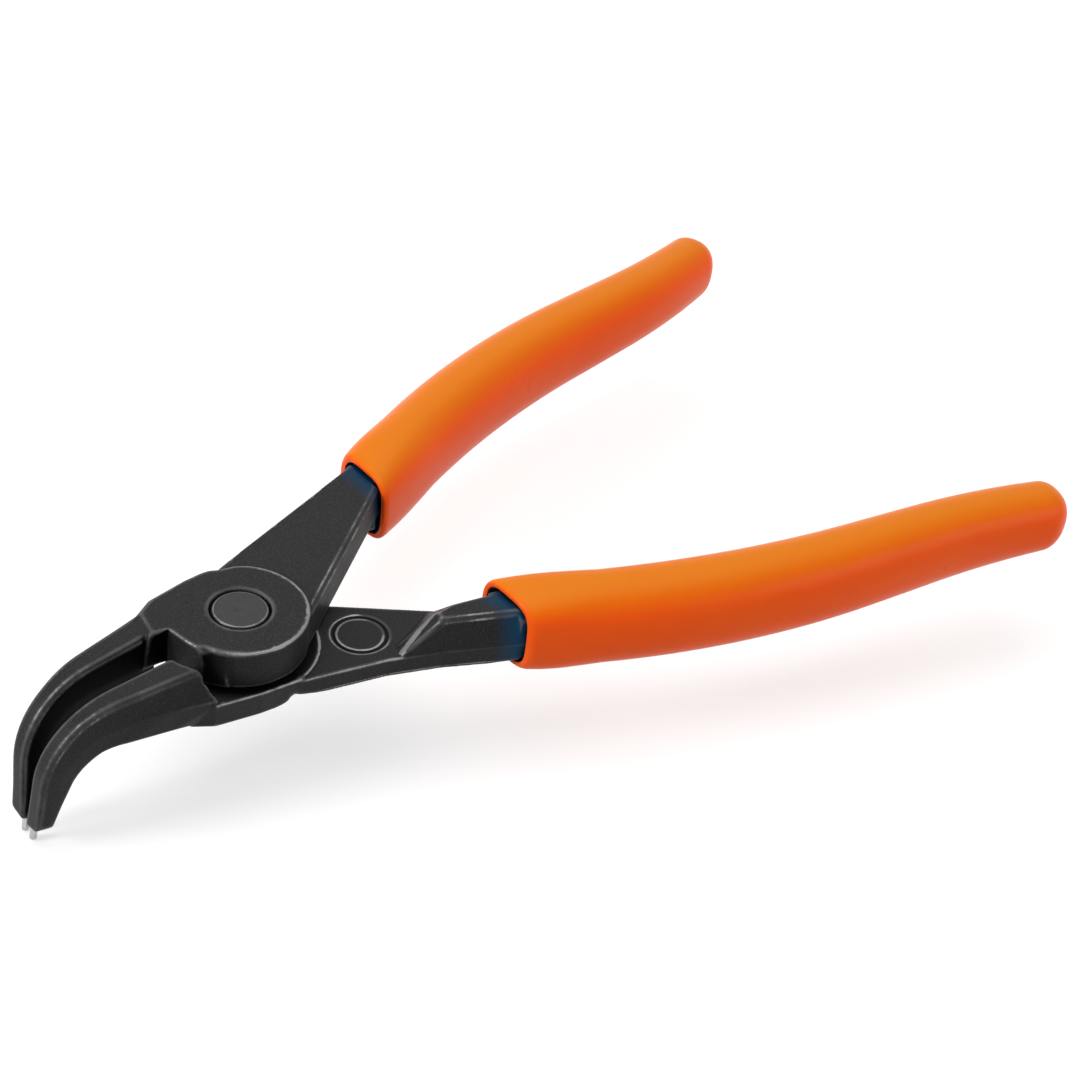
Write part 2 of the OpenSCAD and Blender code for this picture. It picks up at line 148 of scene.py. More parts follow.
def addNode(tree, kind, inputs=None, **settings):
    # inputs: values, or sockets to link, by the input's name or number
    node = tree.nodes.new(kind)
    for key, value in settings.items():
        setattr(node, key, value)
    for key, value in (inputs or {}).items():
        if isinstance(value, bpy.types.NodeSocket):
            tree.links.new(value, node.inputs[key])
        else:
            node.inputs[key].default_value = value
    return node


def mapRange(tree, value, low, high, toLow=0.0, toHigh=1.0):
    node = addNode(tree, "ShaderNodeMapRange", {0: value, 1: low, 2: high, 3: toLow, 4: toHigh})
    return node.outputs[0]


def mixColour(tree, factor, a, b):
    node = tree.nodes.new("ShaderNodeMix")
    node.data_type = "RGBA"
    for socket, value in ((node.inputs[0], factor), (node.inputs[6], a), (node.inputs[7], b)):
        if isinstance(value, bpy.types.NodeSocket):
            tree.links.new(value, socket)
        else:
            socket.default_value = value
    return node.outputs[2]


def mathNode(tree, operation, a, b=0.0, clamp=False):
    return addNode(tree, "ShaderNodeMath", {0: a, 1: b}, operation=operation, use_clamp=clamp).outputs[0]


def newGroup(name, ins, outs):
    group = bpy.data.node_groups.new(name, "ShaderNodeTree")
    for label, kind, value in ins:
        socket = group.interface.new_socket(label, in_out="INPUT", socket_type=kind)
        if value is not None:
            socket.default_value = value
    for label, kind in outs:
        group.interface.new_socket(label, in_out="OUTPUT", socket_type=kind)
    return group, group.nodes.new("NodeGroupInput"), group.nodes.new("NodeGroupOutput")


def useGroup(tree, group, inputs):
    node = tree.nodes.new("ShaderNodeGroup")
    node.node_tree = group
    for key, value in inputs.items():
        if isinstance(value, bpy.types.NodeSocket):
            tree.links.new(value, node.inputs[key])
        else:
            node.inputs[key].default_value = value
    return node


def fineGrainGroup():
    # Two noises, a fine one for the grain and a broad one for the cloudiness of a finish
    group, ins, outs = newGroup(
        "fineGrain",
        [("Vector", "NodeSocketVector", None), ("Fine", "NodeSocketFloat", 2500.0),
         ("Broad", "NodeSocketFloat", 150.0)],
        [("Fine Mask", "NodeSocketFloat"), ("Broad Mask", "NodeSocketFloat"),
         ("Height", "NodeSocketFloat")],
    )
    fine = addNode(group, "ShaderNodeTexNoise", {"Vector": ins.outputs["Vector"], "Detail": 3.0,
                                                 "Scale": ins.outputs["Fine"], "Roughness": 0.65})
    broad = addNode(group, "ShaderNodeTexNoise", {"Vector": ins.outputs["Vector"], "Detail": 4.0,
                                                  "Scale": ins.outputs["Broad"], "Roughness": 0.6})
    fineMask = mapRange(group, fine.outputs[0], 0.35, 0.65)
    broadMask = mapRange(group, broad.outputs[0], 0.3, 0.7)
    height = mathNode(group, "ADD", mathNode(group, "MULTIPLY", fineMask, 0.75),
                      mathNode(group, "MULTIPLY", broadMask, 0.25))
    group.links.new(fineMask, outs.inputs["Fine Mask"])
    group.links.new(broadMask, outs.inputs["Broad Mask"])
    group.links.new(height, outs.inputs["Height"])
    return group


def edgeWearGroup():
    # Wear that starts on the sharpest edges and is broken up by noise
    group, ins, outs = newGroup(
        "edgeWear",
        [("Vector", "NodeSocketVector", None), ("Edge", "NodeSocketFloat", 0.0),
         ("Fine", "NodeSocketFloat", 2500.0), ("Patches", "NodeSocketFloat", 260.0),
         ("Start", "NodeSocketFloat", 0.5), ("Softness", "NodeSocketFloat", 0.3)],
        [("Mask", "NodeSocketFloat")],
    )
    fine = addNode(group, "ShaderNodeTexNoise", {"Vector": ins.outputs["Vector"], "Detail": 4.0,
                                                 "Scale": ins.outputs["Fine"], "Roughness": 0.7})
    patches = addNode(group, "ShaderNodeTexNoise", {"Vector": ins.outputs["Vector"], "Detail": 2.0,
                                                    "Scale": ins.outputs["Patches"]})
    spread = mathNode(group, "ADD", mapRange(group, fine.outputs[0], 0.25, 0.75, -0.22, 0.22),
                      mapRange(group, patches.outputs[0], 0.35, 0.65, -0.28, 0.2))
    held = mathNode(group, "MULTIPLY", spread, mapRange(group, ins.outputs["Edge"], 0.0, 0.3))
    edge = mathNode(group, "ADD", ins.outputs["Edge"], held)
    stop = mathNode(group, "ADD", ins.outputs["Start"], ins.outputs["Softness"])
    mask = mapRange(group, edge, ins.outputs["Start"], stop)
    group.links.new(mask, outs.inputs["Mask"])
    return group


fineGrain = fineGrainGroup()
edgeWear = edgeWearGroup()

blackSteel = {
    "colour": (0.0105, 0.0105, 0.0105, 1),
    "cloudColour": (0.0145, 0.0145, 0.0145, 1),
    "grainColour": (0.030, 0.030, 0.030, 1),
    "rubbedAndHighlightColour": (0.12, 0.12, 0.12, 1),
    # Painted shade for the gap between the jaws, the jaw's root, the recess's floor and the stamp's groove
    "paintedShadeColour": (0.001, 0.001, 0.001, 1),
    # Painted highlight round the stamp's groove
    "stampHighlightColour": (0.045, 0.045, 0.045, 1),
    # Edge wear with a painted highlight along the crests
    "wornColour": (0.21, 0.21, 0.21, 1),
    "blueColour": (0.004, 0.036, 0.078, 1),
    "blueMetallic": 0.5,
    "wornMetallic": 0.8,
    "specular": 0.10,
    "grainScale": (4200.0, 220.0),  # of the fine and the broad noise
    "grainPower": 3.0,  # the higher, the fewer light grains
    "blueFrom": 31.8,  # where the blue tint starts and is full, along X in mm
    "blueTo": 34.8,
    "roughness": (0.40, 0.52),
    "bump": 0.22,
    "bumpDistance": 0.00006,
    "rubbedAndHighlight": (0.25, 0.9, 0.65),  # where the soft wear and painted highlight of edges starts and is full, and its share
    "wornStart": 0.27,
    "wornSoftness": 0.45,
    "stampRadius": 4.05,  # middle and half width of the ring's groove, in mm
    "stampHalf": 0.3,
    "stampDepth": 0.0002,
}


def blackSteelMaterial(v):
    mat, tree, shader = newMaterial("blackSteel")
    place = addNode(tree, "ShaderNodeTexCoord").outputs["Object"]
    fine, broad = v["grainScale"]
    grain = useGroup(tree, fineGrain, {"Vector": place, "Fine": fine, "Broad": broad})
    # Edge wear and painted highlight along the crests
    edge = addNode(tree, "ShaderNodeAttribute", attribute_name="line").outputs["Fac"]
    worn = useGroup(tree, edgeWear, {"Vector": place, "Edge": edge, "Start": v["wornStart"],
                                     "Softness": v["wornSoftness"]}).outputs["Mask"]
    along = addNode(tree, "ShaderNodeSeparateXYZ", {0: place}).outputs["X"]
    blue = mapRange(tree, along, v["blueFrom"] * mm, v["blueTo"] * mm)
    base = mixColour(tree, grain.outputs["Broad Mask"], v["colour"], v["cloudColour"])
    speck = mathNode(tree, "POWER", grain.outputs["Fine Mask"], v["grainPower"])
    base = mixColour(tree, speck, base, v["grainColour"])
    base = mixColour(tree, blue, base, v["blueColour"])
    fromStamp = addNode(tree, "ShaderNodeAttribute", attribute_name="fromStamp").outputs["Fac"]
    off = mathNode(tree, "ABSOLUTE", mathNode(tree, "SUBTRACT", fromStamp, v["stampRadius"]))
    groove = mapRange(tree, off, v["stampHalf"], v["stampHalf"] * 0.4)
    # A painted highlight round the stamp's groove, and painted shade in the groove itself
    stampHighlight = mapRange(tree, off, v["stampHalf"] * 3, v["stampHalf"])
    base = mixColour(tree, stampHighlight, base, v["stampHighlightColour"])
    # Painted shade on the faces in the gap, at the jaw's root and on the recess's floor
    paintedShade = addNode(tree, "ShaderNodeAttribute", attribute_name="paintedShade").outputs["Fac"]
    base = mixColour(tree, mathNode(tree, "MAXIMUM", groove, paintedShade), base, v["paintedShadeColour"])
    start, full, share = v["rubbedAndHighlight"]
    # Soft wear and painted highlight on the rounded edges
    softWearAndHighlight = addNode(tree, "ShaderNodeAttribute", attribute_name="edge").outputs["Fac"]
    softWearAndHighlight = mapRange(tree, softWearAndHighlight, start, full, 0.0, share)
    softWearAndHighlight = mathNode(tree, "MULTIPLY", softWearAndHighlight, mapRange(tree, grain.outputs["Broad Mask"], 0.1, 0.9, 0.4, 1.0))
    base = mixColour(tree, softWearAndHighlight, base, v["rubbedAndHighlightColour"])
    base = mixColour(tree, worn, base, v["wornColour"])
    tree.links.new(base, shader.inputs["Base Color"])
    metal = mathNode(tree, "MAXIMUM", mathNode(tree, "MULTIPLY", worn, v["wornMetallic"]),
                     mathNode(tree, "MULTIPLY", blue, v["blueMetallic"]))
    metal = mathNode(tree, "MAXIMUM", metal, paintedShade)  # so that the painted shade also takes away the reflection there
    tree.links.new(metal, shader.inputs["Metallic"])
    rough = mapRange(tree, grain.outputs["Broad Mask"], 0.0, 1.0, *v["roughness"])
    tree.links.new(rough, shader.inputs["Roughness"])
    shader.inputs["Specular IOR Level"].default_value = v["specular"]
    stamped = addNode(tree, "ShaderNodeBump", {"Strength": 1.0, "Distance": -v["stampDepth"],
                                               "Height": groove})
    bump = addNode(tree, "ShaderNodeBump", {"Strength": v["bump"], "Distance": v["bumpDistance"],
                                            "Height": grain.outputs["Height"],
                                            "Normal": stamped.outputs[0]})
    tree.links.new(bump.outputs[0], shader.inputs["Normal"])
    return mat


rivetSteel = {
    "colour": (0.022, 0.022, 0.022, 1),
    "grainColour": (0.034, 0.034, 0.034, 1),
    "wornColour": (0.17, 0.17, 0.17, 1),
    "wornStart": 0.3,
    "wornSoftness": 0.6,
    "wornMetallic": 0.8,
    "turned": (0.85, 1.15),  # how far the fine turned rings darken and lighten the colour
    "turnedScale": 1400.0,
    "grainScale": (3600.0, 420.0),
    "specular": 0.2,
    "roughness": (0.37, 0.50),
    "bump": 0.2,
    "bumpDistance": 0.00004,
}


def rivetSteelMaterial(v):
    mat, tree, shader = newMaterial("rivetSteel")
    place = addNode(tree, "ShaderNodeTexCoord").outputs["Object"]
    fine, broad = v["grainScale"]
    grain = useGroup(tree, fineGrain, {"Vector": place, "Fine": fine, "Broad": broad})
    edge = addNode(tree, "ShaderNodeAttribute", attribute_name="edge").outputs["Fac"]
    worn = useGroup(tree, edgeWear, {"Vector": place, "Edge": edge, "Start": v["wornStart"],
                                     "Softness": v["wornSoftness"]}).outputs["Mask"]
    rings = addNode(tree, "ShaderNodeTexWave",
                    {"Vector": place, "Scale": v["turnedScale"], "Distortion": 0.6},
                    wave_type="RINGS", rings_direction="Z")
    turned = mapRange(tree, rings.outputs["Fac"], 0.0, 1.0, *v["turned"])
    base = mixColour(tree, grain.outputs["Fine Mask"], v["colour"], v["grainColour"])
    base = mixColour(tree, worn, base, v["wornColour"])
    scaled = addNode(tree, "ShaderNodeVectorMath", {0: base, "Scale": turned}, operation="SCALE")
    tree.links.new(scaled.outputs[0], shader.inputs["Base Color"])
    tree.links.new(mathNode(tree, "MULTIPLY", worn, v["wornMetallic"]), shader.inputs["Metallic"])
    rough = mapRange(tree, grain.outputs["Broad Mask"], 0.0, 1.0, *v["roughness"])
    tree.links.new(rough, shader.inputs["Roughness"])
    shader.inputs["Specular IOR Level"].default_value = v["specular"]
    bump = addNode(tree, "ShaderNodeBump", {"Strength": v["bump"], "Distance": v["bumpDistance"],
                                            "Height": grain.outputs["Height"]})
    tree.links.new(bump.outputs[0], shader.inputs["Normal"])
    return mat


pinSteel = {
    "colour": (0.55, 0.55, 0.55, 1),
    "darkColour": (0.36, 0.36, 0.37, 1),
    "lineScale": 9000.0,
    "lineStretch": (1, 1, 0.12),
    "roughness": (0.22, 0.34),
    "bump": 0.15,
    "bumpDistance": 0.00002,
}


def pinSteelMaterial(v):
    mat, tree, shader = newMaterial("pinSteel")
    place = addNode(tree, "ShaderNodeTexCoord").outputs["Object"]
    stretched = addNode(tree, "ShaderNodeMapping", {"Vector": place, "Scale": v["lineStretch"]})
    lines = addNode(tree, "ShaderNodeTexNoise",
                    {"Vector": stretched.outputs[0], "Scale": v["lineScale"], "Detail": 2.0})
    mask = mapRange(tree, lines.outputs[0], 0.35, 0.65)
    tree.links.new(mixColour(tree, mask, v["darkColour"], v["colour"]), shader.inputs["Base Color"])
    shader.inputs["Metallic"].default_value = 1.0
    rough = mapRange(tree, mask, 0.0, 1.0, *v["roughness"])
    tree.links.new(rough, shader.inputs["Roughness"])
    bump = addNode(tree, "ShaderNodeBump",
                   {"Strength": v["bump"], "Distance": v["bumpDistance"], "Height": mask})
    tree.links.new(bump.outputs[0], shader.inputs["Normal"])
    return mat


orangeVinyl = {
    "paintedTopLightColour": (0.62, 0.17, 0.001, 1),  # painted light: yellower where it faces up
    "colour": (0.96, 0.108, 0.004, 1),
    "deepColour": (0.93, 0.096, 0.003, 1),
    # Painted shade for the cavity, the mouth's funnel and the inner lip
    "insideColour": (0.05, 0.006, 0.001, 1),
    "paintedTopLightFrom": (0.35, 1.05),  # how far up it faces where the painted top light starts and would be full
    "grainScale": (1500.0, 60.0),
    "sheen": 0.13,
    "sheenRoughness": 0.35,
    "specular": 0.08,
    "scatterWeight": 0.3,
    "scatterRadius": (1.0, 0.25, 0.05),
    "scatterScale": 0.003,
    "roughness": (0.27, 0.34),
    "bump": 0.10,
    "bumpDistance": 0.00006,
}


def orangeVinylMaterial(v):
    mat, tree, shader = newMaterial("orangeVinyl")
    place = addNode(tree, "ShaderNodeTexCoord").outputs["Object"]
    fine, broad = v["grainScale"]
    grain = useGroup(tree, fineGrain, {"Vector": place, "Fine": fine, "Broad": broad})
    base = mixColour(tree, grain.outputs["Broad Mask"], v["colour"], v["deepColour"])
    facesUp = addNode(tree, "ShaderNodeAttribute", attribute_name="facesUp").outputs["Fac"]
    # Painted light: the faces that look up are yellower
    base = mixColour(tree, mapRange(tree, facesUp, *v["paintedTopLightFrom"]), base, v["paintedTopLightColour"])
    # Painted shade over the cavity, the mouth's funnel and the inner lip
    inside = addNode(tree, "ShaderNodeAttribute", attribute_name="inside").outputs["Fac"]
    base = mixColour(tree, inside, base, v["insideColour"])
    tree.links.new(base, shader.inputs["Base Color"])
    rough = mapRange(tree, grain.outputs["Broad Mask"], 0.0, 1.0, *v["roughness"])
    tree.links.new(rough, shader.inputs["Roughness"])
    shader.inputs["Specular IOR Level"].default_value = v["specular"]
    shader.inputs["Sheen Weight"].default_value = v["sheen"]
    shader.inputs["Sheen Roughness"].default_value = v["sheenRoughness"]
    shader.inputs["Subsurface Weight"].default_value = v["scatterWeight"]
    shader.inputs["Subsurface Radius"].default_value = v["scatterRadius"]
    shader.inputs["Subsurface Scale"].default_value = v["scatterScale"]
    bump = addNode(tree, "ShaderNodeBump", {"Strength": v["bump"], "Distance": v["bumpDistance"],
                                            "Height": grain.outputs["Height"]})
    tree.links.new(bump.outputs[0], shader.inputs["Normal"])
    return mat


materials = {
    "black_steel": blackSteelMaterial(blackSteel),
    "rivet_steel": rivetSteelMaterial(rivetSteel),
    "pin_steel": pinSteelMaterial(pinSteel),
    "orange_sleeve": orangeVinylMaterial(orangeVinyl),
}
print("materials made")


def finishPiece(piece, body, node, slotName):
    piece.data.materials.clear()
    piece.data.materials.append(materials[slotName])
    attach(piece, body)
    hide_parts(node)


def setAttribute(mesh, name, values):
    layer = mesh.attributes.new(name, "FLOAT", "POINT")
    layer.data.foreach_set("value", np.asarray(values, np.float32))


# Dipped sleeves, sizes in mm and angles in degrees, seen from mid-thickness of the joint
sleeve = {
    "mouth": (35.6, 18.45),
    "length": 96,  # of the centre line, without the round end
    "bowAngle": 24.2,  # heading at the mouth
    "bowTurn": 15.9,  # turn towards the other sleeve, and where along the line it goes on
    "bowFrom": 14,
    "bowTo": 60,
    "flareTurn": 8.5,  # turn outwards, from here to the end
    "flareFrom": 74,
    "straighten": 12,  # over this length the rings turn from facing -X to square with the path
    "halfWidth": (5.99, 5.84, 4.79),  # at the mouth, half way and at the end
    "halfHeight": (6.94, 7.24, 5.94),
    "drawWidth": 0.25,  # how far the sleeve is drawn in at the mouth, and over what length
    "drawHeight": 0.7,
    "drawLength": 9,
    "lipRadius": 0.5,
    "lipLength": 1.1,
    "lipInner": 0.3,
    "mouthWidth": 4.45,  # half width and half height of the opening, as seen from the joint
    "mouthHeight": 5.2,
    "openingSquareness": 3.9,
    "mouthDepth": 6,
    "squareness": 2.4,
    "mouthSquareness": 0.9,  # added at the mouth, and gone after the length below
    "mouthSquare": 15,
    "tangWidth": (3.7, 2.6),
    "tangHeight": (4.6, 3.6),
    "tangShort": 3,  # how far the steel ends before the centre line does
    "tangRoom": (0.2, 0.15),  # between the steel and the cavity, across and along the height
    "cavitySquareness": 5,
    "around": 112,
    "bodyRings": 240,
    "innerRings": 50,  # rings of the cavity, the mouth's funnel and the start of the lip, which get painted shade
}


def heading(v, s):
    # Degrees: straight, then a turn towards the middle, then a turn outwards at the end
    bow = v["bowTurn"] * ease(s, v["bowFrom"], v["bowTo"])
    return v["bowAngle"] - bow + v["flareTurn"] * ease(s, v["flareFrom"], v["length"])


def pathAt(v, s):
    # Centre line: the heading's direction summed up over small steps from the mouth
    steps = np.linspace(0, v["length"], 481)
    middle = np.radians(heading(v, (steps[1:] + steps[:-1]) / 2))
    step = steps[1] - steps[0]
    x = v["mouth"][0] + np.concatenate([[0], np.cumsum(np.cos(middle) * step)])
    y = v["mouth"][1] + np.concatenate([[0], np.cumsum(np.sin(middle) * step)])
    return np.interp(s, steps, x), np.interp(s, steps, y)


def bulge(values, t):
    # Parabola through the three values at the start, middle and end
    a, b, c = values
    return a * (1 - t) * (1 - 2 * t) + 4 * b * t * (1 - t) + c * t * (2 * t - 1)


def sleeveSection(v, s):
    # Half width, half height and squareness of the outer skin
    drawn = (1 - ease(s, 0, v["drawLength"])) ** 2
    wide = bulge(v["halfWidth"], s / v["length"]) - v["drawWidth"] * drawn
    high = bulge(v["halfHeight"], s / v["length"]) - v["drawHeight"] * drawn
    return wide, high, v["squareness"] + v["mouthSquareness"] * (1 - ease(s, 0, v["mouthSquare"]))


def ovalRings(v, s, wide, high, square, push=0):
    # Superellipses x = w*|cos|^(2/n), z = h*|sin|^(2/n) across the path, pushed along it by push
    angle = np.linspace(0, 2 * math.pi, v["around"], endpoint=False)
    c, d = np.cos(angle)[None], np.sin(angle)[None]
    power = (2 / np.asarray(square))[:, None]
    across = wide[:, None] * np.sign(c) * np.abs(c) ** power
    lift = high[:, None] * np.sign(d) * np.abs(d) ** power
    x, y = pathAt(v, s)
    full = np.radians(heading(v, s))
    turn = full * ease(s, 0, v["straighten"])
    across = across / np.cos(full - turn)[:, None]
    px = (x + push * np.cos(full))[:, None] - np.sin(turn)[:, None] * across
    py = (y + push * np.sin(full))[:, None] + np.cos(turn)[:, None] * across
    return np.stack([px, py, lift + 0 * px], -1)


def sleeveRings(v):
    # Cavity round the steel, funnel of the mouth, rolled lip, body and round end, as one skin
    end = v["length"] - v["tangShort"] + 0.05
    wide0, high0, square0 = (float(a) for a in sleeveSection(v, 0.0))
    t = np.linspace(1, 0, 30)
    s = v["mouthDepth"] + (end - v["mouthDepth"]) * t
    share = s / (v["length"] - v["tangShort"])
    roomWide, roomHigh = v["tangRoom"]
    cavity = ovalRings(v, s, v["tangWidth"][0] + (v["tangWidth"][1] - v["tangWidth"][0]) * share + roomWide,
                       v["tangHeight"][0] + (v["tangHeight"][1] - v["tangHeight"][0]) * share + roomHigh,
                       v["cavitySquareness"] + 0 * s)
    t = np.linspace(1, 0, 17)[1:]
    blend = t ** 2
    startWide, startHigh = v["tangWidth"][0] + roomWide, v["tangHeight"][0] + roomHigh
    funnel = ovalRings(v, v["lipInner"] + (v["mouthDepth"] - v["lipInner"]) * t,
                       v["mouthWidth"] * (1 - blend) + startWide * blend,
                       v["mouthHeight"] * (1 - blend) + startHigh * blend,
                       v["openingSquareness"] * (1 - blend) + v["cavitySquareness"] * blend)
    a = np.linspace(0, math.pi / 2, 9)[1:]
    grown = v["lipInner"] * (1 - np.cos(a))
    innerLip = ovalRings(v, v["lipInner"] * (1 - np.sin(a)), v["mouthWidth"] + grown,
                         v["mouthHeight"] + grown, v["openingSquareness"] + 0 * a)
    t = np.linspace(0, 1, 6)[1:-1]
    face = ovalRings(v, 0 * t, (v["mouthWidth"] + v["lipInner"]) * (1 - t) + (wide0 - v["lipRadius"]) * t,
                     (v["mouthHeight"] + v["lipInner"]) * (1 - t) + (high0 - v["lipRadius"]) * t,
                     v["openingSquareness"] * (1 - t) + square0 * t)
    a = np.linspace(0, math.pi / 2, 13)
    s = v["lipLength"] * (1 - np.cos(a))
    wide, high, square = sleeveSection(v, s)
    inset = v["lipRadius"] * (1 - np.sin(a))
    outerLip = ovalRings(v, s, wide - inset, high - inset, square)
    s = v["lipLength"] + (v["length"] - v["lipLength"]) * np.linspace(0, 1, v["bodyRings"])[1:] ** 1.3
    body = ovalRings(v, s, *sleeveSection(v, s))
    a = np.linspace(0, math.pi / 2, 26)[1:-1]
    wide, high, square = (float(q) for q in sleeveSection(v, float(v["length"])))
    cap = ovalRings(v, v["length"] + 0 * a, wide * np.cos(a), high * np.cos(a), square + 0 * a,
                    push=wide * np.sin(a))
    return np.concatenate([cavity, funnel, innerLip, face, outerLip, body, cap])


def addSleeve(name, body, node, flip):
    # The lower sleeve is the upper one turned over about X
    rings = sleeveRings(sleeve) * np.array([1, flip, flip])
    rings = rings * mm + np.array([0, 0, midZ])
    piece = tube(name, rings)
    normals = np.empty(len(piece.data.vertices) * 3, np.float32)
    piece.data.vertex_normals.foreach_get("vector", normals)
    # Which way each point faces, for the painted top light
    setAttribute(piece.data, "facesUp", normals[2::3])
    # Painted shade on the cavity, the funnel and the inner lip
    inside = np.zeros(len(piece.data.vertices))
    inside[:sleeve["innerRings"] * sleeve["around"]] = 1
    inside[-2] = 1  # the pole at the cavity's end
    setAttribute(piece.data, "inside", inside)
    finishPiece(piece, body, node, "orange_sleeve")


addSleeve("upper_sleeve", "upper_half", "upper_grip", 1)
addSleeve("lower_sleeve", "lower_half", "lower_grip", -1)
print("sleeves made")

# Forged levers, sizes in mm
forging = {
    "voxel": 0.15,
    "triangles": 185000,  # what is left of the levers' part that shows, once it is thinned
    "cutX": 48,  # beyond it, inside the sleeve, the tang stays plain
    "roundingSteps": 10,
    "blendPlace": (2.6, 11.2, 4.3),  # where the boss runs out into the web's edge
    "blendReach": (3.4, 1.7),
    "blendSteps": 110,
    "blendShare": 0.6,
    "edgeSteps": 6,  # how far the settled copy goes, and the height above it that counts as 1
    "edgeDepth": 0.03,
    "crestSteps": 27,  # how wide the surroundings are that a crest is compared with
    "crestFloor": 0.3,
    "crestGain": 2.0,
    "crestBetween": (0.35, 0.55),
    "bossRadius": 10.2,
    "bossHalf": 5.9,  # half the joint's thickness
    "ringRadius": 4.65,  # the ring is the gap round the rivet's head
    "ringFloor": 4.05,
    "rimRound": 0.22,
    "ringRound": 0.12,
    "stamp": (16.4, 7.75, 0.9),  # on the lower lever's web, seen turned over
    "farOff": 99,  # a distance that reaches nothing
    "ramp": ((19.0, 14.78, 0.44), (25.1, 14.41, -4.1)),  # the corner of the tang's ramp, where a highlight is painted
    "rampHalf": 0.45,
    "rimFrom": -126,  # where the boss's rim stands free of its shoulder, in degrees
    "rimTo": 64,
    "rimFade": 16,
    "rimReach": 0.9,  # how far down and inwards the rim is turned
    "profileReach": 1.2,
    # The pairs below are where an effect is absent and where it is full
    "plainWeb": ((18.5, 20), (3, 2)),  # no wear or painted highlight near mid-thickness here: along X, and along Z
    "lineEnd": (33, 32),  # no wear or painted highlight beyond this X, inside the sleeve's mouth
    "jawFrom": (-9, -14),  # from here on only the bend gets wear and painted highlight
    "bend": (-30, 7, 0.8),  # middle and spread along X, and share of the bend's wear and painted highlight
    "bendHigh": (9, 4),
    # Painted shade: the gap between the jaws, the jaw's root and the recess's floor
    "gapFacing": (0.4, 0.8),  # faces that look into the gap between the jaws
    "gapFrom": (-6, -9),
    "rootFacing": (0.5, 0.8),  # the jaw's root, which faces the other lever's boss
    "rootFrom": (-7, -8),
    "recessFloor": (0.9, (0.9, 0.5)),  # height, and distance from it
    "recessFacing": (0.6, 0.9),
    "recessRadius": (12.8, 11),
    "recessShare": 0.9,
}


def mergedCopy(node, name):
    # The node's triangles with shared corners joined
    source = bmesh.new()
    source.from_mesh(frame["nodes"][node].data)
    bmesh.ops.remove_doubles(source, verts=source.verts, dist=1e-6)
    mesh = bpy.data.meshes.new(name)
    source.to_mesh(mesh)
    source.free()
    obj = bpy.data.objects.new(name, mesh)
    bpy.context.scene.collection.objects.link(obj)
    return obj


def keepSide(obj, x, side):
    # Cuts the solid square at x and closes the cut; side 1 keeps what is towards -X
    source = bmesh.new()
    source.from_mesh(obj.data)
    geometry = source.verts[:] + source.edges[:] + source.faces[:]
    cut = bmesh.ops.bisect_plane(source, geom=geometry, plane_co=(x, 0, 0), plane_no=(side, 0, 0),
                                 clear_outer=True)
    edges = [e for e in cut["geom_cut"] if isinstance(e, bmesh.types.BMEdge)]
    bmesh.ops.holes_fill(source, edges=edges, sides=0)
    bmesh.ops.triangulate(source, faces=source.faces[:])
    source.to_mesh(obj.data)
    source.free()


def remesh(obj, voxel):
    mod = obj.modifiers.new("remesh", "REMESH")
    mod.mode = "VOXEL"
    mod.voxel_size = voxel
    mesh = bpy.data.meshes.new_from_object(obj.evaluated_get(bpy.context.evaluated_depsgraph_get()))
    obj.modifiers.clear()
    obj.data = mesh


def thin(obj, triangles):
    # Collapses edges where the surface is flattest until about that many triangles are left
    obj.data.calc_loop_triangles()
    mod = obj.modifiers.new("thin", "DECIMATE")
    mod.ratio = min(1, triangles / len(obj.data.loop_triangles))
    mesh = bpy.data.meshes.new_from_object(obj.evaluated_get(bpy.context.evaluated_depsgraph_get()))
    obj.modifiers.clear()
    obj.data = mesh


def neighbourMean(values, edges, count):
    total = np.zeros_like(values)
    np.add.at(total, edges[:, 0], values[edges[:, 1]])
    np.add.at(total, edges[:, 1], values[edges[:, 0]])
    return total / count


def toProfile(points, chosen, profile, share):
    # Moves the chosen points by their share to the nearest place on a turned (radius, height) profile
    radius = np.hypot(points[chosen, 0], points[chosen, 1])
    own = np.stack([radius, points[chosen, 2]], -1)
    nearest = ((own[:, None] - profile[None]) ** 2).sum(2).argmin(1)
    share = share[chosen]
    points[chosen, :2] *= (1 + (profile[nearest, 0] / radius - 1) * share)[:, None]
    points[chosen, 2] += (profile[nearest, 1] - points[chosen, 2]) * share


def roundedStep(outer, corner, inner, radius, spacing=0.01):
    # Two straights through a corner with a round of the given radius, as closely spaced points
    outer, corner, inner = (np.array(q, float) for q in (outer, corner, inner))
    a = (outer - corner) / np.linalg.norm(outer - corner)
    b = (inner - corner) / np.linalg.norm(inner - corner)
    t = np.linspace(0, math.pi / 2, 24)[:, None]
    arc = corner + (a + b) * radius - radius * (np.cos(t) * b + np.sin(t) * a)
    first = np.arange(0, np.linalg.norm(outer - corner) - radius, spacing)[:, None]
    last = np.arange(0, np.linalg.norm(inner - corner) - radius, spacing)[:, None]
    return np.concatenate([outer - a * first, arc, inner - b * last])


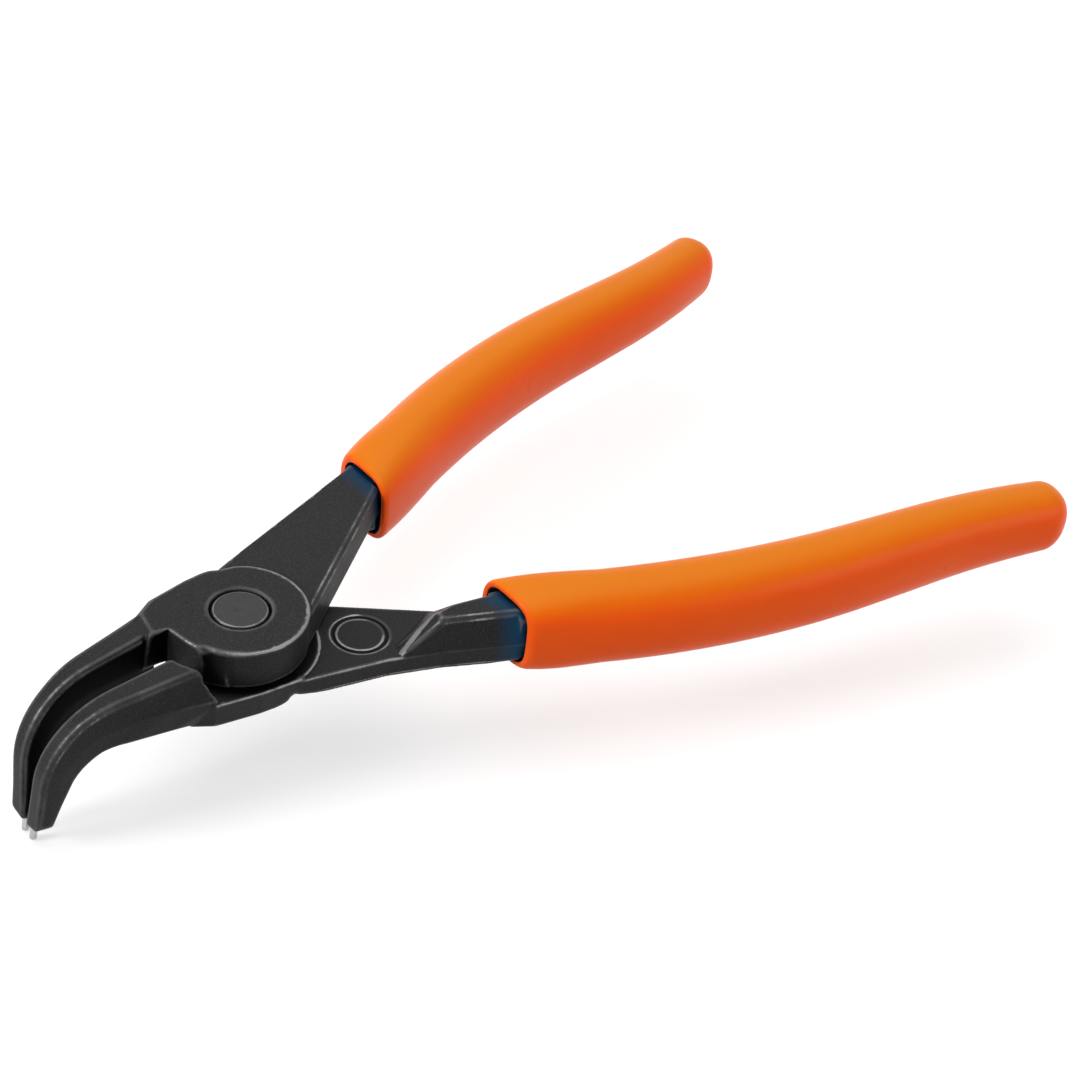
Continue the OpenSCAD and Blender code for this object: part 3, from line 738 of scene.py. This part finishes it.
def turnCrisp(points, v):
    # The boss's free rim and the ring round the rivet's head are turned, so they stay crisp
    top = v["bossHalf"]
    radius = np.hypot(points[:, 0], points[:, 1])
    angle = np.degrees(np.arctan2(points[:, 1], points[:, 0]))
    high = points[:, 2] > top - v["rimReach"]
    rim = high & (radius > v["bossRadius"] - v["rimReach"]) & (radius < v["bossRadius"] + 0.3)
    rim &= (angle > v["rimFrom"]) & (angle < v["rimTo"])
    share = ease(angle, v["rimFrom"], v["rimFrom"] + v["rimFade"])
    share *= ease(-angle, -v["rimTo"], v["rimFade"] - v["rimTo"])
    reach = v["profileReach"]
    profile = roundedStep((v["bossRadius"] - reach, top), (v["bossRadius"], top),
                          (v["bossRadius"], top - reach), v["rimRound"])
    toProfile(points, np.flatnonzero(rim), profile, share)
    ring = (points[:, 2] > v["ringFloor"] + 0.25) & (radius < v["ringRadius"] + v["rimReach"])
    profile = roundedStep((v["ringRadius"] + reach, top), (v["ringRadius"], top),
                          (v["ringRadius"], v["ringFloor"]), v["ringRound"])
    toProfile(points, np.flatnonzero(ring), profile, np.ones(len(points)))


def fromSegment(points, a, b):
    # Distance from the segment a to b
    a, b = np.array(a), np.array(b)
    share = np.clip((points - a) @ (b - a) / ((b - a) @ (b - a)), 0, 1)
    return np.linalg.norm(points - a - share[:, None] * (b - a), axis=1)


def roundForging(mesh, v, turnedOver):
    # Corners settle into their neighbours' mean. Returns the points in metres, the same in mm
    # with the lower lever turned over, the edges, and each point's number of edges.
    n = len(mesh.vertices)
    points = np.empty(n * 3)
    mesh.vertices.foreach_get("co", points)
    points = points.reshape(-1, 3)
    edges = np.empty(len(mesh.edges) * 2, np.int64)
    mesh.edges.foreach_get("vertices", edges)
    edges = edges.reshape(-1, 2)
    count = np.bincount(edges.ravel(), minlength=n)[:, None].astype(float)
    for step in range(v["roundingSteps"]):
        points = points * 0.5 + neighbourMean(points, edges, count) * 0.5
    local = (points - np.array([0, 0, midZ])) / mm * turnedOver
    near = np.linalg.norm(local - np.array(v["blendPlace"]), axis=1, keepdims=True)
    near = ease(near, *v["blendReach"])
    for step in range(v["blendSteps"]):
        local = local + (neighbourMean(local, edges, count) - local) * near * v["blendShare"]
    turnCrisp(local, v)
    points = local * turnedOver * mm + np.array([0, 0, midZ])
    mesh.vertices.foreach_set("co", points.ravel())
    mesh.update()
    return points, local, edges, count


def crestMasks(points, normals, edges, count, v):
    # How far a point stands out of a copy that has settled further, and the crest of that alone
    settled = points
    for step in range(v["edgeSteps"]):
        settled = neighbourMean(settled, edges, count)
    out = ((points - settled) * normals).sum(1, keepdims=True) / (v["edgeDepth"] * mm)
    out = np.clip(neighbourMean(neighbourMean(out, edges, count), edges, count), 0, None)
    spread = out
    for step in range(v["crestSteps"]):
        spread = (spread + neighbourMean(spread, edges, count)) / 2
    crest = (out - spread) / (spread + v["crestFloor"]) * ease(out, *v["crestBetween"])
    return np.clip(out[:, 0], 0, 1), crest[:, 0]


def edgeWearAndHighlight(local, crest, v):
    # The crests rubbed bright, as wear and as painted highlight: the rims of the boss and the web, the
    # ramp's corner, the jaw's bend
    x, y, z = local.T
    radius = np.hypot(x, y)
    line = np.clip(crest * v["crestGain"], 0, 1)
    line[radius < v["ringRadius"] + 1] = 0
    alongX, alongZ = v["plainWeb"]
    line *= 1 - ease(x, *alongX) * ease(np.abs(z), *alongZ)
    line *= ease(x, *v["lineEnd"])
    line[(np.abs(radius - v["bossRadius"]) < 0.6) & (np.abs(z) < v["bossHalf"] - v["profileReach"])] = 0
    # A painted highlight along the ramp's corner
    ramp = ease(fromSegment(local, *v["ramp"]), v["rampHalf"] * 1.5, v["rampHalf"] * 0.7)
    jaw = ease(x, *v["jawFrom"])
    middle, spread, share = v["bend"]
    bend = np.exp(-((x - middle) / spread) ** 2) * ease(np.abs(z), *v["bendHigh"])
    return np.maximum(line, ramp) * (1 - jaw + jaw * bend * share)


def paintedShadeFaces(local, facing, v):
    # Painted shade on the faces in the gap between the jaws, at the jaw's root and on the recess's floor
    x, y, z = local.T
    gap = ease(-facing[:, 1], *v["gapFacing"]) * ease(x, *v["gapFrom"])
    root = ease(facing[:, 0], *v["rootFacing"]) * ease(x, *v["rootFrom"])
    floor, depth = v["recessFloor"]
    recess = ease(np.hypot(x, y), *v["recessRadius"]) * ease(-facing[:, 2], *v["recessFacing"])
    recess *= ease(np.abs(z - floor), *depth)
    return np.maximum(np.maximum(gap, root), recess * v["recessShare"])


def fromStampMiddle(local, v):
    # Distance from the stamp's middle on the web that carries it, and far off elsewhere
    x, y, z = local.T
    stampX, stampY, stampZ = v["stamp"]
    distance = np.hypot(x - stampX, y - stampY)
    distance[np.abs(z - stampZ) > 0.8] = v["farOff"]
    return distance


def finishForging(mesh, v, flip):
    # Rounds the lever and gives it the masks that its material reads
    turnedOver = np.array([1, flip, flip])
    points, local, edges, count = roundForging(mesh, v, turnedOver)
    normals = np.empty(points.size)
    mesh.vertices.foreach_get("normal", normals)
    normals = normals.reshape(-1, 3)
    edge, crest = crestMasks(points, normals, edges, count, v)
    setAttribute(mesh, "edge", edge)
    setAttribute(mesh, "line", edgeWearAndHighlight(local, crest, v))
    setAttribute(mesh, "paintedShade", paintedShadeFaces(local, normals * turnedOver, v))
    stamped = fromStampMiddle(local, v) if flip < 0 else np.full(len(local), v["farOff"])
    setAttribute(mesh, "fromStamp", stamped)


def joinMeshes(first, second):
    # Both closed solids in the first one's mesh; the second is removed
    joined = bmesh.new()
    joined.from_mesh(first.data)
    joined.from_mesh(second.data)
    joined.to_mesh(first.data)
    joined.free()
    bpy.data.objects.remove(second)


def addLever(name, body, node, flip, v):
    # The part that shows is remeshed and rounded; the tang's end inside the sleeve stays plain
    piece = mergedCopy(node, name)
    tang = mergedCopy(node, name + "_tang")
    keepSide(piece, v["cutX"] * mm, 1)
    keepSide(tang, (v["cutX"] - 0.3) * mm, -1)
    remesh(piece, v["voxel"] * mm)
    finishForging(piece.data, v, flip)
    thin(piece, v["triangles"])
    joinMeshes(piece, tang)
    piece.data.shade_smooth()
    finishPiece(piece, body, node, "black_steel")
    print(name, len(piece.data.vertices), "points")


addLever("upper_forging", "upper_half", "upper_lever", 1, forging)
addLever("lower_forging", "lower_half", "lower_lever", -1, forging)
print("levers made")

# Rivet, a turned profile of (radius, height) pairs from the lower head to the upper one, in mm
rivet = {
    "headRadius": 4.2,
    "headHeight": 5.85,
    "headUnder": 4.1,
    "shankRadius": 3,
    "rimRound": 0.35,
    "markRadius": 1.0,
    "markDepth": 0.3,
    "wornRim": (4.0, 0.12),  # radius and half width of the worn band on the heads
    "around": 144,
}


def revolve(name, profile, around, place):
    # Each (radius, height) pair becomes a ring; the profile's ends are tiny rings with a pole
    angle = np.linspace(0, 2 * math.pi, around, endpoint=False)
    radius, height = profile[:, :1], profile[:, 1:2]
    rings = np.stack([radius * np.cos(angle), radius * np.sin(angle), height + 0 * angle], -1) * mm
    turn = np.array(place.to_3x3())
    rings = rings @ turn.T + np.array(place.translation)
    return tube(name, rings)


def rivetProfile(v):
    # Half profile from the waist to the head's middle: fillet at the rim, shallow dished mark
    r = np.linspace(0, 1, 40)
    a = np.linspace(0, math.pi / 2, 10)
    rim = np.stack([v["headRadius"] - v["rimRound"] * (1 - np.cos(a)),
                    v["headHeight"] - v["rimRound"] * (1 - np.sin(a))], -1)
    radius = (v["headRadius"] - v["rimRound"]) * (1 - r[1:])
    dish = v["markDepth"] * np.exp(-(radius / v["markRadius"]) ** 2 * 1.6)
    face = np.stack([np.maximum(radius, 0.01), v["headHeight"] - dish], -1)
    waist = np.array([[v["shankRadius"], 0], [v["shankRadius"], v["headUnder"]],
                      [v["headRadius"] - 0.1, v["headUnder"]], [v["headRadius"], v["headUnder"] + 0.1]])
    half = np.concatenate([waist, rim, face])
    lower = half[::-1] * np.array([1, -1])
    return np.concatenate([lower, half[1:]])


def addRivet(v):
    profile = rivetProfile(v)
    piece = revolve("rivet", profile, v["around"], Matrix.Translation((0, 0, midZ)))
    radius, half = v["wornRim"]
    rim = np.exp(-((profile[:, 0] - radius) / half) ** 2) * (np.abs(profile[:, 1]) > v["headUnder"] + 0.9)
    setAttribute(piece.data, "edge", np.concatenate([np.repeat(rim, v["around"]), [0, 0]]))
    finishPiece(piece, "lower_half", "pivot_rivet", "rivet_steel")


addRivet(rivet)

# Tip pins, sizes in mm: the base is where the upper pin's axis leaves the nose
tipPin = {
    "base": (-35.4456, 1.09, -17.9166),
    "lean": 5,  # degrees
    "radius": 0.55,
    "shankRadius": 0.35,
    "neck": 0.12,  # the full radius starts this far outside the base
    "out": 2.65,
    "held": 4,
    "round": 0.16,  # of the free end's rim
    "around": 64,
}


def addPin(name, body, node, side, v):
    a = np.linspace(0, math.pi / 2, 8)
    nose = np.stack([v["radius"] - v["round"] * (1 - np.sin(a)),
                     v["round"] * (1 - np.cos(a)) - v["out"]], -1)
    flat = np.array([[0.01, -v["out"]], [v["radius"] * 0.5, -v["out"]]])
    top = np.array([[v["radius"], -v["neck"] - 0.03], [v["radius"] - 0.03, -v["neck"]],
                    [v["shankRadius"], -v["neck"]], [v["shankRadius"], v["held"]], [0.01, v["held"]]])
    x, y, z = v["base"]
    lean = Matrix.Rotation(math.radians(v["lean"]), 4, "Y")
    place = Matrix.Translation((x * mm, side * y * mm, z * mm + midZ)) @ lean
    piece = revolve(name, np.concatenate([flat, nose, top]), v["around"], place)
    finishPiece(piece, body, node, "pin_steel")


addPin("upper_pin", "upper_half", "upper_tip_pin", 1, tipPin)
addPin("lower_pin", "lower_half", "lower_tip_pin", -1, tipPin)
print("rivet and pins made")

studio = {
    "floorGap": 0.2,  # below the object's lowest point, in mm
    "floorSize": 6,
    "floorColour": (0.50, 0.50, 0.50, 1),
    "floorGlow": 0.55,  # what the floor adds where the camera looks at it
    "skyDark": 0.22,  # strength of the studio's dark front and of its bright side
    "skyBright": 0.72,
    "skyFrom": -0.1,
    "skyTo": 0.9,
    "skyMiddle": (0.42, 0.45, 0.79),  # towards the middle of the bright side
    "lamps": {
        "key": {"place": (0.08, 0.15, 0.85), "target": (0.04, 0, 0), "size": 1.1, "power": 4.8},
        "left": {"place": (-0.70, 0.25, 0.35), "target": (0, 0, 0), "size": 0.3, "power": 4.5},
        "front": {"place": (0.45, -0.75, 0.10), "target": (0.05, 0, 0), "size": 0.6, "power": 2.3},
    },
}


def showsWhite(tree):
    # 1 for the rays in which the background is white: the camera's, and those that mirror or pass it on
    path = addNode(tree, "ShaderNodeLightPath").outputs
    either = mathNode(tree, "MAXIMUM", path["Is Camera Ray"], path["Is Glossy Ray"])
    return mathNode(tree, "MAXIMUM", either, path["Is Transmission Ray"])


def addFloor(v):
    # A level plane that shows white with the object's shadow, and is clear from below
    mat = bpy.data.materials.new("floorWhite")
    mat.use_nodes = True
    tree = mat.node_tree
    tree.nodes.clear()
    out = tree.nodes.new("ShaderNodeOutputMaterial")
    diffuse = addNode(tree, "ShaderNodeBsdfDiffuse", {"Color": v["floorColour"]})
    glow = addNode(tree, "ShaderNodeEmission",
                   {"Strength": mathNode(tree, "MULTIPLY", showsWhite(tree), v["floorGlow"])})
    top = addNode(tree, "ShaderNodeAddShader", {0: diffuse.outputs[0], 1: glow.outputs[0]})
    clear = addNode(tree, "ShaderNodeBsdfTransparent")
    back = addNode(tree, "ShaderNodeNewGeometry").outputs["Backfacing"]
    mix = addNode(tree, "ShaderNodeMixShader", {0: back, 1: top.outputs[0], 2: clear.outputs[0]})
    tree.links.new(mix.outputs[0], out.inputs[0])
    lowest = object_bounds()[0].z - v["floorGap"] * mm
    half = v["floorSize"] / 2
    corners = np.array([[-half, -half, lowest], [half, -half, lowest],
                        [half, half, lowest], [-half, half, lowest]])
    floor = makeObject("floor", corners, [(0, 1, 2, 3)])
    floor.data.materials.append(mat)
    floor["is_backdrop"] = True


def addLamp(name, v):
    data = bpy.data.lights.new(name, "AREA")
    data.shape = "DISK"
    data.size = v["size"]
    data.energy = v["power"]
    lamp = bpy.data.objects.new(name, data)
    lamp.location = v["place"]
    lamp.rotation_mode = "QUATERNION"
    lamp.rotation_quaternion = (Vector(v["target"]) - lamp.location).to_track_quat("-Z", "Y")
    bpy.context.scene.collection.objects.link(lamp)


def addWorld(v):
    # A big soft light over and behind the object, fading to a dark front; white to the camera
    world = bpy.data.worlds.new("studio")
    bpy.context.scene.world = world
    world.use_nodes = True
    tree = world.node_tree
    background = tree.nodes["Background"]
    background.inputs["Color"].default_value = (1, 1, 1, 1)
    direction = addNode(tree, "ShaderNodeTexCoord").outputs["Generated"]
    towards = addNode(tree, "ShaderNodeVectorMath", {0: direction, 1: v["skyMiddle"]},
                      operation="DOT_PRODUCT").outputs["Value"]
    sky = addNode(tree, "ShaderNodeMapRange",
                  {0: towards, 1: v["skyFrom"], 2: v["skyTo"], 3: v["skyDark"], 4: v["skyBright"]},
                  interpolation_type="SMOOTHSTEP").outputs[0]
    shown = addNode(tree, "ShaderNodeMix", {0: showsWhite(tree), 2: sky, 3: 1.0}, data_type="FLOAT")
    tree.links.new(shown.outputs[0], background.inputs["Strength"])


addFloor(studio)
for name, lamp in studio["lamps"].items():
    addLamp(name, lamp)
addWorld(studio)
print("studio made")
